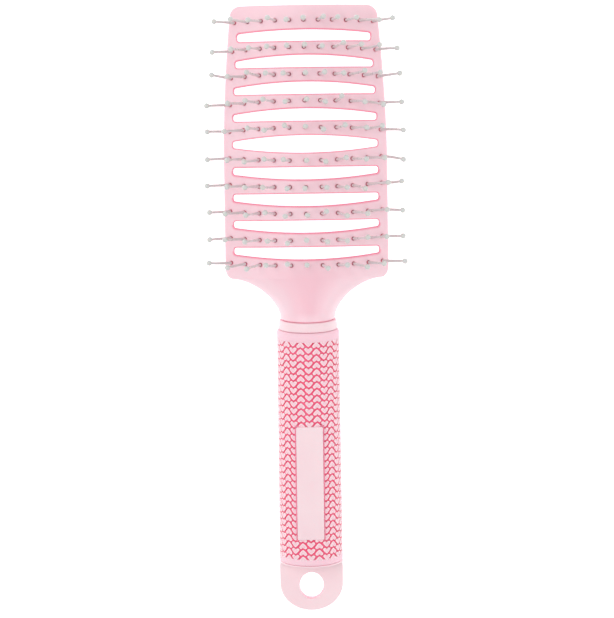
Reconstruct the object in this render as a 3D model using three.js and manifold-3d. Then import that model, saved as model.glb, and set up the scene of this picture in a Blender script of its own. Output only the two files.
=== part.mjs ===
// Curved vent hairbrush: an arched, slotted head with ten rows of ball-tipped nylon pins, a flared
// neck, and a round rubber-sleeved handle that ends in a tab with a hanging hole.
//
// Millimetres, +Z up. The brush lies on its back on the plane Z = 0 with its pins up: it rests on the
// far ends of the head's two side rails and on the underside of the end cap. +Y runs along the handle
// towards the head, and X across it. The origin is the middle of the footprint.

import * as THREE from "three";
import { mergeVertices } from "three/addons/utils/BufferGeometryUtils.js";
import Module from "manifold-3d";

const wasm = await Module();
wasm.setup();

// ---- Driving dimensions -------------------------------------------------------------------------

const GAP = 0.3; // kept between pieces that seat on one another
const ROUND_SIDES = 40; // facets round the handle's pieces
const SPIGOT_SIDES = 28;
const PEG_SIDES = 16;

// Handle, measured along its own axis from the tip of the hanging tab.
const TAB_END_RADIUS = 13.05;
const TAB_TIP_LENGTH = 11.7; // the rounded tip's share of the end cap
const END_CAP_LENGTH = 21.6;
const SLEEVE_END = 118.1; // where the rubber sleeve stops and the collar starts
const NECK_START = 122.2;
const SLEEVE_TOP_RADIUS = 12.65;
const SLEEVE_TAIL_RADIUS = 13;
const SLEEVE_END_BEVEL = 0.5; // off the radius, over twice that length
const COLLAR_RADIUS = 11.95;
const CORE_RADIUS = 10;
const BORE_RADIUS = 8;
const SPIGOT_RADIUS = 7.6; // the head's tang and the end cap's plug, both inside the core's bore
const TANG_LENGTH = 30;
const PLUG_LENGTH = 14;
const PLUG_CHAMFER = 1;
const EDGE_CHAMFER = 0.4; // round the cap's disc and the collar
const COLLAR_TAPER = 0.3; // off the collar's radius towards the neck

// Hanging tab and its hole.
const TAB_HALF_THICKNESS = 2;
const TAB_SHOULDER = 20.9; // where the tab meets the cap's round disc
const SHOULDER_FILLET = 3;
const HOLE_CENTRE = 10.6;
const HOLE_HALF_WIDTH = 5;
const HOLE_HALF_LENGTH = 5.6;

// Badge plate, set in a window of the sleeve.
const PLATE_START = 32.7;
const PLATE_LENGTH = 47;
const PLATE_WIDTH = 10.9;
const PLATE_TOP = 13.05; // above the handle's axis
const PEG_RADIUS = 1.5;
const PLATE_CORNER = 0.5;
const PEG_INSET = 8; // from the plate's ends to its two pegs
const PEG_DEPTH = 1.6; // below the core's outside

// Head: a strip of a cylinder, sloping down from the neck. Distances along it start at the neck's foot.
const HEAD_SLOPE = THREE.MathUtils.degToRad(7);
const HEAD_LENGTH = 126.6;
const HEAD_RADIUS = 64;
const HEAD_THICKNESS = 3.4;
const HEAD_HALF_WIDTH = 33.2;
const HEAD_TOP_HALF_WIDTH = 30;
const TAPER_START = 66;
const TAPER_POWER = 1.7;
const TOP_CORNER = 4.5;
const RIM_ROUNDING = 1;

// Neck: a superellipse flare from the round foot out to the head's lower corners.
const NECK_RADIUS = 11;
const FLARE_LENGTH = 16.7;
const FLARE_HALF_WIDTH = 30.2;
const FLARE_POWER = 1.75;
const LOWER_CORNER = 4.5;
const NECK_BLEND = 26; // over this length the solid neck thins into the head's shell
const ROUND_FLANK = THREE.MathUtils.degToRad(80); // on each side of the neck's top, before its rims
const ROUND_RIM = [85, 90, 95].map(THREE.MathUtils.degToRad);

// Vents and pins.
const VENT_COUNT = 9;
const VENT_PITCH = 10.74;
const MIDDLE_VENT = 70.9;
const VENT_END_HALF_HEIGHT = 1.42;
const TOP_VENT_END_HALF_HEIGHT = 1.65;
const VENT_BOW = 2.1; // how far a vent's bowed edge stands out at the middle
const TOP_VENT_BOW = 1.26;
const VENT_CORNER = 0.75; // as a share of a vent's end half height
const RAIL_WIDTH = 3.9;
const PINS_PER_ROW = 11;
const PIN_REACH = 0.925; // where the outermost pins stand, as a share of the half width
const PIN_LENGTH = 17.5; // from the head's face to the centre of the ball
const PIN_ROOT_RADIUS = 0.55;
const PIN_NECK_RADIUS = 0.45;
const BALL_RADIUS = 1.12;
const PIN_HOLE_RADIUS = 0.95;
const PIN_SIDES = 5;
const ROW_BOW = 1.3;
const FIRST_ROW_RISE = 6.1; // from the top vent to the top row
const LAST_ROW_DROP = 4.7; // from the bottom vent to the bottom row
const STRIP_HALF_WIDTH = 0.9;
const STRIP_THICKNESS = 1.1;
const STRIP_INSET = 0.1; // from the head's back

// ---- Solids and meshes --------------------------------------------------------------------------

const MERGE_DISTANCE = 1e-4;

// A closed three.js geometry as a solid, moved by a matrix if one is given.
function solidOf(geometry, matrix) {
  const bare = geometry.index ? geometry.toNonIndexed() : geometry.clone();
  const positions = new THREE.BufferGeometry().setAttribute("position", bare.getAttribute("position"));
  if (matrix) positions.applyMatrix4(matrix);
  const merged = mergeVertices(positions, MERGE_DISTANCE);
  return new wasm.Manifold(
    new wasm.Mesh({
      numProp: 3,
      vertProperties: merged.attributes.position.array,
      triVerts: new Uint32Array(merged.index.array),
    }),
  );
}

// A solid back as a three.js geometry.
function geometryOf(solid) {
  const mesh = solid.getMesh();
  const vertices = new Float32Array(mesh.numVert * 3);
  for (let i = 0; i < mesh.numVert; i++) {
    const start = i * mesh.numProp;
    vertices.set(mesh.vertProperties.subarray(start, start + 3), i * 3);
  }
  const geometry = new THREE.BufferGeometry();
  geometry.setAttribute("position", new THREE.BufferAttribute(vertices, 3));
  return geometry.setIndex(new THREE.BufferAttribute(mesh.triVerts, 1));
}

function piece(name, solid, material) {
  const mesh = new THREE.Mesh(geometryOf(solid), material);
  mesh.name = name;
  return mesh;
}

const moved = (x, y, z) => new THREE.Matrix4().makeTranslation(x, y, z);

// A closed surface through rings of points, all of one length, listed from the first end to the last.
// Each end is closed by triangles over the ring's flat outline.
function loft(rings, outlines) {
  const count = rings[0].length;
  const points = rings.flat();
  const faces = [];
  for (let r = 0; r < rings.length - 1; r++) {
    for (let k = 0; k < count; k++) {
      const next = (k + 1) % count;
      const [a, b, c, d] = [r * count + k, r * count + next, (r + 1) * count + next, (r + 1) * count + k];
      faces.push(a, b, c, a, c, d);
    }
  }
  // triangulateShape always winds its triangles anticlockwise, whichever way the outline runs.
  const starts = [0, (rings.length - 1) * count];
  outlines.forEach((outline, end) => {
    const reverse = (end === 0) !== THREE.ShapeUtils.isClockWise(outline);
    for (const face of THREE.ShapeUtils.triangulateShape(outline, [])) {
      const corners = face.map((corner) => starts[end] + corner);
      faces.push(...(reverse ? corners.reverse() : corners));
    }
  });
  const geometry = new THREE.BufferGeometry().setFromPoints(points);
  return geometry.setIndex(faces);
}

// ---- Materials ----------------------------------------------------------------------------------

const plastic = (color, roughness) => new THREE.MeshStandardMaterial({ color, roughness, metalness: 0 });
const headPlastic = plastic(0xf9ccd8, 0.45);
const palePlastic = plastic(0xf8dbe1, 0.4);
const corePlastic = plastic(0xf3c6d0, 0.5);
const gripRubber = plastic(0xf7b9ca, 0.75);
const pinNylon = plastic(0xd9d4d0, 0.35);

// ---- Head ---------------------------------------------------------------------------------------
// In the head's own group: +Y along the head from the neck's foot, +Z out through the pins, X across.

const { lerp, smoothstep } = THREE.MathUtils;

// How far the head's rail drops below its crown at a half width. The far ends of the rails touch the
// table.
const railDrop = (halfWidth) => {
  const edge = Math.asin(halfWidth / HEAD_RADIUS);
  return HEAD_RADIUS - (HEAD_RADIUS - HEAD_THICKNESS) * Math.cos(edge);
};
const HANDLE_HEIGHT = TAB_END_RADIUS; // of the handle's axis above the table
const CROWN =
  railDrop(HEAD_TOP_HALF_WIDTH) +
  ((HEAD_LENGTH - TOP_CORNER) * Math.sin(HEAD_SLOPE) - HANDLE_HEIGHT) / Math.cos(HEAD_SLOPE);

function halfWidthAt(along) {
  if (along <= TAPER_START) return HEAD_HALF_WIDTH;
  const share = (along - TAPER_START) / (HEAD_LENGTH - TOP_CORNER - TAPER_START);
  return lerp(HEAD_HALF_WIDTH, HEAD_TOP_HALF_WIDTH, share ** TAPER_POWER);
}

// The outline of the head and neck in plan, as stations { along, halfWidth }: the flare, the lower
// corner, the side and the top corner.
function outline(flareSteps, cornerSteps, sideSteps) {
  const stations = [];
  const curl = 2 / FLARE_POWER;
  for (let i = 0; i <= flareSteps; i++) {
    const a = (i / flareSteps) * (Math.PI / 2);
    stations.push({
      along: FLARE_LENGTH * Math.sin(a) ** curl,
      halfWidth: FLARE_HALF_WIDTH - (FLARE_HALF_WIDTH - NECK_RADIUS) * Math.max(0, Math.cos(a)) ** curl,
    });
  }
  for (let i = 1; i <= cornerSteps; i++) {
    const a = (i / cornerSteps) * (Math.PI / 2);
    stations.push({
      along: FLARE_LENGTH + LOWER_CORNER * (1 - Math.cos(a)),
      halfWidth: lerp(FLARE_HALF_WIDTH, HEAD_HALF_WIDTH, Math.sin(a)),
    });
  }
  const sideStart = FLARE_LENGTH + LOWER_CORNER;
  const sideEnd = HEAD_LENGTH - TOP_CORNER;
  for (let i = 1; i <= sideSteps; i++) {
    const along = lerp(sideStart, sideEnd, i / sideSteps);
    stations.push({ along, halfWidth: halfWidthAt(along) });
  }
  for (let i = 1; i <= cornerSteps; i++) {
    const a = (i / cornerSteps) * (Math.PI / 2);
    stations.push({
      along: sideEnd + TOP_CORNER * Math.sin(a),
      halfWidth: HEAD_TOP_HALF_WIDTH - TOP_CORNER * (1 - Math.cos(a)),
    });
  }
  return stations;
}

// One cross-section as [across, up] points: round at the neck's foot, a curved strip from NECK_BLEND
// onwards.
function sectionAt({ along, halfWidth }) {
  const steps = 8;
  const rim = RIM_ROUNDING * 0.25;
  const edge = Math.asin(halfWidth / (HEAD_RADIUS - rim)) + rim / HEAD_RADIUS;
  const flank = edge - RIM_ROUNDING / HEAD_RADIUS;
  const inner = HEAD_RADIUS - HEAD_THICKNESS;
  const stripPoints = [];
  const roundPoints = [];
  const add = (radius, angle, turn) => {
    stripPoints.push([radius * Math.sin(angle), CROWN - HEAD_RADIUS + radius * Math.cos(angle)]);
    roundPoints.push([halfWidth * Math.sin(turn), NECK_RADIUS * Math.cos(turn)]);
  };
  const rimOf = (side) => {
    const tuck = rim / HEAD_RADIUS;
    const depths = [rim, HEAD_THICKNESS / 2, HEAD_THICKNESS - rim];
    const order = side > 0 ? [0, 1, 2] : [2, 1, 0];
    for (const i of order) {
      const angle = side * (edge - (i === 1 ? 0 : tuck));
      add(HEAD_RADIUS - depths[i], angle, side * ROUND_RIM[i]);
    }
  };
  for (let k = 0; k <= steps; k++) {
    const f = -1 + (2 * k) / steps;
    add(HEAD_RADIUS, f * flank, f * ROUND_FLANK);
  }
  rimOf(1);
  for (let k = steps; k >= 0; k--) {
    const f = -1 + (2 * k) / steps;
    add(inner, f * flank, Math.PI - f * ROUND_FLANK);
  }
  rimOf(-1);
  const blend = smoothstep(along, 0, NECK_BLEND);
  return stripPoints.map(([x, z], i) => {
    const [roundX, roundZ] = roundPoints[i];
    return [lerp(roundX, x, blend), lerp(roundZ, z, blend)];
  });
}

// The neck's sections turn from square to the handle to square to the head.
function headBlank() {
  const stations = outline(9, 4, 5);
  const sections = stations.map(sectionAt);
  const rings = stations.map(({ along }, i) => {
    const lean = HEAD_SLOPE * (1 - smoothstep(along, 0, NECK_BLEND));
    return sections[i].map(
      ([x, z]) => new THREE.Vector3(x, along - z * Math.sin(lean), z * Math.cos(lean)),
    );
  });
  const flat = (section) => section.map(([x, z]) => new THREE.Vector2(x, z));
  return solidOf(loft(rings, [flat(sections[0]), flat(sections.at(-1))]));
}

// The tang plugs into the handle, so it follows the handle's axis.
function tang() {
  const overlap = 1;
  const length = TANG_LENGTH + overlap;
  const place = new THREE.Matrix4().makeRotationX(HEAD_SLOPE);
  place.multiply(moved(0, overlap - length / 2, 0));
  return solidOf(new THREE.CylinderGeometry(SPIGOT_RADIUS, SPIGOT_RADIUS, length, SPIGOT_SIDES), place);
}

const ventPosition = (vent) => MIDDLE_VENT + ((VENT_COUNT - 1) / 2 - vent) * VENT_PITCH;

// A vent in plan: straight towards the head's middle and bowed away from it. The middle vent bows both
// ways.
function ventCutter(vent) {
  const middle = (VENT_COUNT - 1) / 2;
  const y = ventPosition(vent);
  const x = halfWidthAt(y) - RAIL_WIDTH;
  const h = vent === 0 ? TOP_VENT_END_HALF_HEIGHT : VENT_END_HALF_HEIGHT;
  const corner = h * VENT_CORNER;
  const bow = vent === 0 ? TOP_VENT_BOW : VENT_BOW;
  const upperBow = vent <= middle ? bow : 0;
  const lowerBow = vent >= middle ? bow : 0;
  const shape = new THREE.Shape();
  shape.moveTo(-x, y - h + corner);
  shape.quadraticCurveTo(-x, y - h, -x + corner, y - h);
  shape.quadraticCurveTo(0, y - h - 2 * lowerBow, x - corner, y - h);
  shape.quadraticCurveTo(x, y - h, x, y - h + corner);
  shape.lineTo(x, y + h - corner);
  shape.quadraticCurveTo(x, y + h, x - corner, y + h);
  shape.quadraticCurveTo(0, y + h + 2 * upperBow, -x + corner, y + h);
  shape.quadraticCurveTo(-x, y + h, -x, y + h - corner);
  const reach = 2 * HEAD_HALF_WIDTH;
  const cutter = new THREE.ExtrudeGeometry(shape, { depth: reach, bevelEnabled: false, curveSegments: 4 });
  return solidOf(cutter, moved(0, 0, -reach / 2));
}

// A row of pins: where it stands along the head, how it bows, and its pins' angles round the head's
// cylinder.
function rowOf(row) {
  const last = VENT_COUNT;
  const along =
    row === 0
      ? ventPosition(0) + FIRST_ROW_RISE
      : row === last
        ? ventPosition(last - 1) - LAST_ROW_DROP
        : (ventPosition(row - 1) + ventPosition(row)) / 2;
  const upper = row < last / 2;
  const bow = (upper ? 1 : -1) * (row === 0 ? ROW_BOW / 2 : ROW_BOW);
  const half = (PINS_PER_ROW - 1) / 2;
  const outermost = Math.asin((PIN_REACH * halfWidthAt(along)) / HEAD_RADIUS);
  const angles = Array.from({ length: PINS_PER_ROW }, (_, i) => (outermost * (i - half)) / half);
  const alongAt = (angle) => along + bow * (1 - Math.min(1, (angle / outermost) ** 2));
  return { angles, outermost, alongAt };
}

// A point in the head's group from an angle round its cylinder, a radius, and a distance along it.
function onHead(angle, radius, along) {
  return new THREE.Vector3(
    radius * Math.sin(angle),
    along,
    CROWN - HEAD_RADIUS + radius * Math.cos(angle),
  );
}

// A bar of rectangular section that follows a row round the head between two radii.
function rowBar(row, halfWidth, innerRadius, outerRadius, overhang) {
  const steps = 8;
  const reach = row.outermost + overhang / HEAD_RADIUS;
  const rings = [];
  for (let i = 0; i <= steps; i++) {
    const angle = lerp(-reach, reach, i / steps);
    const along = row.alongAt(angle);
    rings.push([
      onHead(angle, innerRadius, along - halfWidth),
      onHead(angle, innerRadius, along + halfWidth),
      onHead(angle, outerRadius, along + halfWidth),
      onHead(angle, outerRadius, along - halfWidth),
    ]);
  }
  const square = [
    new THREE.Vector2(0, 0),
    new THREE.Vector2(1, 0),
    new THREE.Vector2(1, 1),
    new THREE.Vector2(0, 1),
  ];
  return solidOf(loft(rings, [square, square]));
}

// Places a shape made along +Y so that it stands on the head at an angle, with y = 0 on the head's face.
function standing(angle, along) {
  const place = new THREE.Matrix4();
  const foot = onHead(angle, HEAD_RADIUS, along);
  place.makeBasis(
    new THREE.Vector3(Math.cos(angle), 0, -Math.sin(angle)),
    new THREE.Vector3(Math.sin(angle), 0, Math.cos(angle)),
    new THREE.Vector3(0, -1, 0),
  );
  return place.setPosition(foot);
}

const STRIP_INNER = HEAD_RADIUS - HEAD_THICKNESS + STRIP_INSET;
const STRIP_OUTER = STRIP_INNER + STRIP_THICKNESS;

function pinHoles(row) {
  const depth = HEAD_RADIUS - STRIP_OUTER;
  const proud = 1;
  const tool = new THREE.CylinderGeometry(PIN_HOLE_RADIUS, PIN_HOLE_RADIUS, depth + proud, PIN_SIDES);
  tool.translate(0, (proud - depth) / 2, 0);
  return row.angles.map((angle) => solidOf(tool, standing(angle, row.alongAt(angle))));
}

function headFrame(rows) {
  const cutters = [];
  const below = HEAD_RADIUS - HEAD_THICKNESS - 2; // well clear of the head's back
  for (let vent = 0; vent < VENT_COUNT; vent++) cutters.push(ventCutter(vent));
  for (const row of rows) {
    cutters.push(rowBar(row, STRIP_HALF_WIDTH + GAP, below, STRIP_OUTER + GAP, PIN_HOLE_RADIUS + GAP));
    cutters.push(...pinHoles(row));
  }
  return headBlank().add(tang()).subtract(wasm.Manifold.union(cutters));
}

// A row's eleven nylon pins on the thin strip that lies in the groove behind the rib.
function pinStrip(row) {
  const root = HEAD_RADIUS - STRIP_OUTER + STRIP_THICKNESS / 2;
  const profile = [
    [0, -root],
    [PIN_ROOT_RADIUS, -root],
    [PIN_NECK_RADIUS, PIN_LENGTH - BALL_RADIUS],
    [BALL_RADIUS, PIN_LENGTH],
    [0, PIN_LENGTH + BALL_RADIUS],
  ].map(([radius, height]) => new THREE.Vector2(radius, height));
  const pin = new THREE.LatheGeometry(profile, PIN_SIDES);
  const bar = rowBar(row, STRIP_HALF_WIDTH, STRIP_INNER, STRIP_OUTER, PIN_HOLE_RADIUS);
  const pins = row.angles.map((angle) => solidOf(pin, standing(angle, row.alongAt(angle))));
  return bar.add(wasm.Manifold.union(pins));
}

// ---- Handle -------------------------------------------------------------------------------------
// In the handle's own group: +Y along its axis from the tip of the tab, +Z up.

// A solid of revolution round the handle's axis, from [radius, y] points.
function turned(points) {
  const profile = points.map(([radius, y]) => new THREE.Vector2(radius, y));
  return solidOf(new THREE.LatheGeometry(profile, ROUND_SIDES));
}

function neckCollar() {
  const [start, end] = [SLEEVE_END + GAP, NECK_START - GAP];
  const narrow = COLLAR_RADIUS - COLLAR_TAPER;
  return turned([
    [BORE_RADIUS, start],
    [COLLAR_RADIUS - EDGE_CHAMFER, start],
    [COLLAR_RADIUS, start + EDGE_CHAMFER],
    [narrow, end - EDGE_CHAMFER],
    [narrow - EDGE_CHAMFER, end],
    [BORE_RADIUS, end],
    [BORE_RADIUS, start],
  ]);
}

function handleCore() {
  const [start, end] = [END_CAP_LENGTH + GAP, SLEEVE_END];
  const tube = turned([
    [BORE_RADIUS, start],
    [CORE_RADIUS, start],
    [CORE_RADIUS, end],
    [BORE_RADIUS, end],
    [BORE_RADIUS, start],
  ]);
  const holes = pegs(PEG_RADIUS + GAP, BORE_RADIUS / 2, CORE_RADIUS + 1);
  return tube.subtract(wasm.Manifold.union(holes));
}

function gripSleeve() {
  const [start, end] = [END_CAP_LENGTH + GAP, SLEEVE_END];
  const bore = CORE_RADIUS + GAP;
  const tube = turned([
    [bore, start],
    [SLEEVE_TAIL_RADIUS, start],
    [SLEEVE_TOP_RADIUS, end - 2 * SLEEVE_END_BEVEL],
    [SLEEVE_TOP_RADIUS - SLEEVE_END_BEVEL, end],
    [bore, end],
    [bore, start],
  ]);
  const opening = new THREE.BoxGeometry(PLATE_WIDTH + 2 * GAP, PLATE_LENGTH + 2 * GAP, CORE_RADIUS);
  return tube.subtract(solidOf(opening, moved(0, PLATE_START + PLATE_LENGTH / 2, CORE_RADIUS * 1.5)));
}

// Two upright round pegs at the plate's ends, between two heights above the axis.
function pegs(radius, low, high) {
  const peg = new THREE.CylinderGeometry(radius, radius, high - low, PEG_SIDES).rotateX(Math.PI / 2);
  const places = [PLATE_START + PEG_INSET, PLATE_START + PLATE_LENGTH - PEG_INSET];
  return places.map((y) => solidOf(peg, moved(0, y, (low + high) / 2)));
}

function badgePlate() {
  const bottom = CORE_RADIUS + GAP;
  const shape = new THREE.Shape();
  const [w, l, r] = [PLATE_WIDTH / 2, PLATE_LENGTH / 2, PLATE_CORNER];
  shape.moveTo(-w + r, -l);
  shape.lineTo(w - r, -l).quadraticCurveTo(w, -l, w, -l + r);
  shape.lineTo(w, l - r).quadraticCurveTo(w, l, w - r, l);
  shape.lineTo(-w + r, l).quadraticCurveTo(-w, l, -w, l - r);
  shape.lineTo(-w, -l + r).quadraticCurveTo(-w, -l, -w + r, -l);
  const slab = new THREE.ExtrudeGeometry(shape, {
    depth: PLATE_TOP - bottom,
    bevelEnabled: false,
    curveSegments: 3,
  });
  const plate = solidOf(slab, moved(0, PLATE_START + PLATE_LENGTH / 2, bottom));
  const overlap = 0.5;
  return plate.add(wasm.Manifold.union(pegs(PEG_RADIUS, CORE_RADIUS - PEG_DEPTH, bottom + overlap)));
}

// What is cut from above the flat tab, up to the cap's round disc.
function tabScoop() {
  const clear = 2;
  const top = TAB_END_RADIUS + clear;
  const face = TAB_HALF_THICKNESS;
  const shape = new THREE.Shape();
  shape.moveTo(-clear, face);
  shape.lineTo(TAB_SHOULDER - SHOULDER_FILLET, face);
  shape.quadraticCurveTo(TAB_SHOULDER, face, TAB_SHOULDER, face + SHOULDER_FILLET);
  shape.lineTo(TAB_SHOULDER, top);
  shape.lineTo(-clear, top);
  const width = 4 * TAB_END_RADIUS;
  const cutter = new THREE.ExtrudeGeometry(shape, { depth: width, bevelEnabled: false, curveSegments: 6 });
  // The shape's x runs along the handle and its y upwards, so the depth runs across.
  const axes = new THREE.Matrix4().makeBasis(
    new THREE.Vector3(0, 1, 0),
    new THREE.Vector3(0, 0, 1),
    new THREE.Vector3(1, 0, 0),
  );
  return solidOf(cutter, moved(-width / 2, 0, 0).multiply(axes));
}

// The hanging hole, an ellipse right through the tab.
function hangingHole() {
  const tool = new THREE.CylinderGeometry(1, 1, 3 * TAB_END_RADIUS, SPIGOT_SIDES).rotateX(Math.PI / 2);
  const place = moved(0, HOLE_CENTRE, 0).scale(new THREE.Vector3(HOLE_HALF_WIDTH, HOLE_HALF_LENGTH, 1));
  return solidOf(tool, place);
}

function endCap() {
  const profile = [];
  const tipSteps = 10;
  for (let i = 0; i <= tipSteps; i++) {
    const a = (i / tipSteps) * (Math.PI / 2);
    profile.push([TAB_END_RADIUS * Math.sin(a), TAB_TIP_LENGTH * (1 - Math.cos(a))]);
  }
  profile.push(
    [TAB_END_RADIUS, END_CAP_LENGTH - EDGE_CHAMFER],
    [TAB_END_RADIUS - EDGE_CHAMFER, END_CAP_LENGTH],
    [SPIGOT_RADIUS, END_CAP_LENGTH],
    [SPIGOT_RADIUS, END_CAP_LENGTH + PLUG_LENGTH - PLUG_CHAMFER],
    [SPIGOT_RADIUS - PLUG_CHAMFER, END_CAP_LENGTH + PLUG_LENGTH],
    [0, END_CAP_LENGTH + PLUG_LENGTH],
  );
  const scoop = tabScoop();
  return turned(profile).subtract(scoop).subtract(scoop.mirror([0, 0, 1])).subtract(hangingHole());
}

// ---- Assembly -----------------------------------------------------------------------------------

const handle = new THREE.Group();
handle.position.z = HANDLE_HEIGHT;
handle.add(piece("end_cap", endCap(), palePlastic));
handle.add(piece("handle_core", handleCore(), corePlastic));
handle.add(piece("grip_sleeve", gripSleeve(), gripRubber));
handle.add(piece("badge_plate", badgePlate(), palePlastic));
handle.add(piece("neck_collar", neckCollar(), palePlastic));

const head = new THREE.Group();
head.position.set(0, NECK_START, HANDLE_HEIGHT);
head.rotation.x = -HEAD_SLOPE;
const rows = Array.from({ length: VENT_COUNT + 1 }, (_, row) => rowOf(row));
head.add(piece("head_frame", headFrame(rows), headPlastic));
rows.forEach((row, i) => {
  head.add(piece(`pin_strip_${String(i + 1).padStart(2, "0")}`, pinStrip(row), pinNylon));
});

const brush = new THREE.Group();
brush.add(handle, head);
brush.updateMatrixWorld(true);
const bounds = new THREE.Box3().setFromObject(brush, true);
brush.position.set(0, -(bounds.min.y + bounds.max.y) / 2, -bounds.min.z);

export default brush;
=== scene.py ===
import math
import random

import bmesh
import bpy
import numpy as np
from mathutils import Matrix, Vector

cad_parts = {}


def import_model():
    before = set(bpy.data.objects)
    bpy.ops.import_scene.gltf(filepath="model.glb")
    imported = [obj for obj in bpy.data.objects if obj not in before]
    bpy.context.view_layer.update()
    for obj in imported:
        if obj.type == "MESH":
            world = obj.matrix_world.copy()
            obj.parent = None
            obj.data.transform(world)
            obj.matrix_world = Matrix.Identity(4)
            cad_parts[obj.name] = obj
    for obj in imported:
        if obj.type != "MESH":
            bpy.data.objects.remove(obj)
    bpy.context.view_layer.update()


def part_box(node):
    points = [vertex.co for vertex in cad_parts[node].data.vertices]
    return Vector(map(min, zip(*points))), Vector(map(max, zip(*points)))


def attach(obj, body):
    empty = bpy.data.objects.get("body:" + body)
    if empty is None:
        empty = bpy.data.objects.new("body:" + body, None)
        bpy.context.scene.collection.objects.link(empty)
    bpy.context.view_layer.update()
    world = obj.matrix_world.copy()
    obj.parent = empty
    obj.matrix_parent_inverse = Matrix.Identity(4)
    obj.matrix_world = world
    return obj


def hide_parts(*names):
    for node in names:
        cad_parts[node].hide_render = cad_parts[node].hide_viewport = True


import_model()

# The shapes below are worked out in millimetres and turned into metres when they are placed.
MM = 0.001
# Only the pins draw from this.
rng = random.Random(11)

# ---- Dimensions shared with the CAD model --------------------------------------------------------

TAB_RADIUS = 13.05
TAB_TIP = 11.7
CAP_LENGTH = 21.6
SLEEVE_END = 118.1
NECK_START = 122.2
SLEEVE_TOP_RADIUS = 12.65
SLEEVE_TAIL_RADIUS = 13.0
SLEEVE_BORE = 10.3
CORE_BORE = 8.0
SPIGOT_RADIUS = 7.6
PLUG_LENGTH = 14
TAB_HALF = 2.0
TAB_SHOULDER = 20.9
SHOULDER_FILLET = 3.0
HOLE_CENTRE = 10.6
HOLE_HALF = (5.0, 5.6)
PLATE_START = 32.7
PLATE_LENGTH = 47.0
PLATE_WIDTH = 10.9
PLATE_TOP = 13.05
HEAD_SLOPE = math.radians(7)
HEAD_LENGTH = 126.6
HEAD_RADIUS = 64.0
HEAD_THICKNESS = 3.4
HEAD_HALF = 33.2
HEAD_TOP_HALF = 30.0
TAPER_START = 66.0
TAPER_POWER = 1.7
TOP_CORNER = 4.5
NECK_RADIUS = 11.0
COLLAR_RADIUS = 11.95
FLARE_LENGTH = 16.7
FLARE_HALF = 30.2
FLARE_POWER = 1.75
LOWER_CORNER = 4.5
NECK_BLEND = 26.0
VENT_COUNT = 9
VENT_PITCH = 10.74
MIDDLE_VENT = 70.9
VENT_END_HALF = 1.42
TOP_VENT_END_HALF = 1.65
VENT_BOW = 2.1
TOP_VENT_BOW = 1.26
VENT_CORNER = 0.75
RAIL = 3.9
PINS = 11
PIN_REACH = 0.925
PIN_LENGTH = 17.5
BALL_RADIUS = 1.12
ROW_BOW = 1.3
FIRST_ROW_RISE = 6.1
LAST_ROW_DROP = 4.7
STRIP_HALF = 0.9
STRIP_THICKNESS = 1.1
GAP = 0.3

STRIP_INNER = HEAD_RADIUS - HEAD_THICKNESS + 0.1
STRIP_OUTER = STRIP_INNER + STRIP_THICKNESS
MIDDLE_INDEX = (VENT_COUNT - 1) / 2
PLATE_MIDDLE = PLATE_START + PLATE_LENGTH / 2

# ---- Fineness and small sizes of this model's own ------------------------------------------------

ROUND_SEGMENTS = 128
PIN_SIDES = 12
RECESS_SIDES = 18
HOLE_SIDES = 48
HEAD_VOXEL = 0.30
CAP_VOXEL = 0.25
JOINT_GAP = 0.08
RECESS_RADIUS = 0.78


def rail_drop(half):
    """How far the back of the head's edge lies below the crown, at a half width."""
    edge = math.asin(half / HEAD_RADIUS)
    return HEAD_RADIUS - (HEAD_RADIUS - HEAD_THICKNESS) * math.cos(edge)


# The crown's height over the handle's axis at the neck's foot, square to the head. With it the far
# ends of the head's rails lie on the same ground as the handle.
CROWN = rail_drop(HEAD_TOP_HALF) + (
    (HEAD_LENGTH - TOP_CORNER) * math.sin(HEAD_SLOPE) - TAB_RADIUS
) / math.cos(HEAD_SLOPE)

# The handle's axis runs along +Y from the tip of the tab, whose place the CAD frame gives.
TAIL_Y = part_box("end_cap")[0][1]
HANDLE_PLACE = Matrix.Translation((0, TAIL_Y, TAB_RADIUS * MM)) @ Matrix.Scale(MM, 4)
HEAD_PLACE = (
    Matrix.Translation((0, TAIL_Y + NECK_START * MM, TAB_RADIUS * MM))
    @ Matrix.Rotation(-HEAD_SLOPE, 4, "X")
    @ Matrix.Scale(MM, 4)
)

# ---- Mesh helpers --------------------------------------------------------------------------------


def lerp(a, b, t):
    return a + (b - a) * t


def smoothstep(x, low, high):
    t = min(1.0, max(0.0, (x - low) / (high - low)))
    return t * t * (3 - 2 * t)


def ramp_up(values, start, end):
    """0 up to start, 1 from end on and straight between."""
    return np.clip((values - start) / (end - start), 0, 1)


def ramp_down(values, start, end):
    """1 up to start, 0 from end on and straight between."""
    return 1 - ramp_up(values, start, end)


def bezier(a, b, c, steps):
    """A curve from a to c that bends towards b, without its first point."""
    out = []
    for i in range(1, steps + 1):
        t = i / steps
        shares = ((1 - t) ** 2, 2 * t * (1 - t), t * t)
        out.append(tuple(sum(w * v for w, v in zip(shares, values)) for values in zip(a, b, c)))
    return out


def new_object(name, verts, faces):
    mesh = bpy.data.meshes.new(name)
    mesh.from_pydata([tuple(map(float, v)) for v in verts], [], [tuple(map(int, f)) for f in faces])
    mesh.validate()
    mesh.update()
    obj = bpy.data.objects.new(name, mesh)
    bpy.context.scene.collection.objects.link(obj)
    return obj


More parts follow.
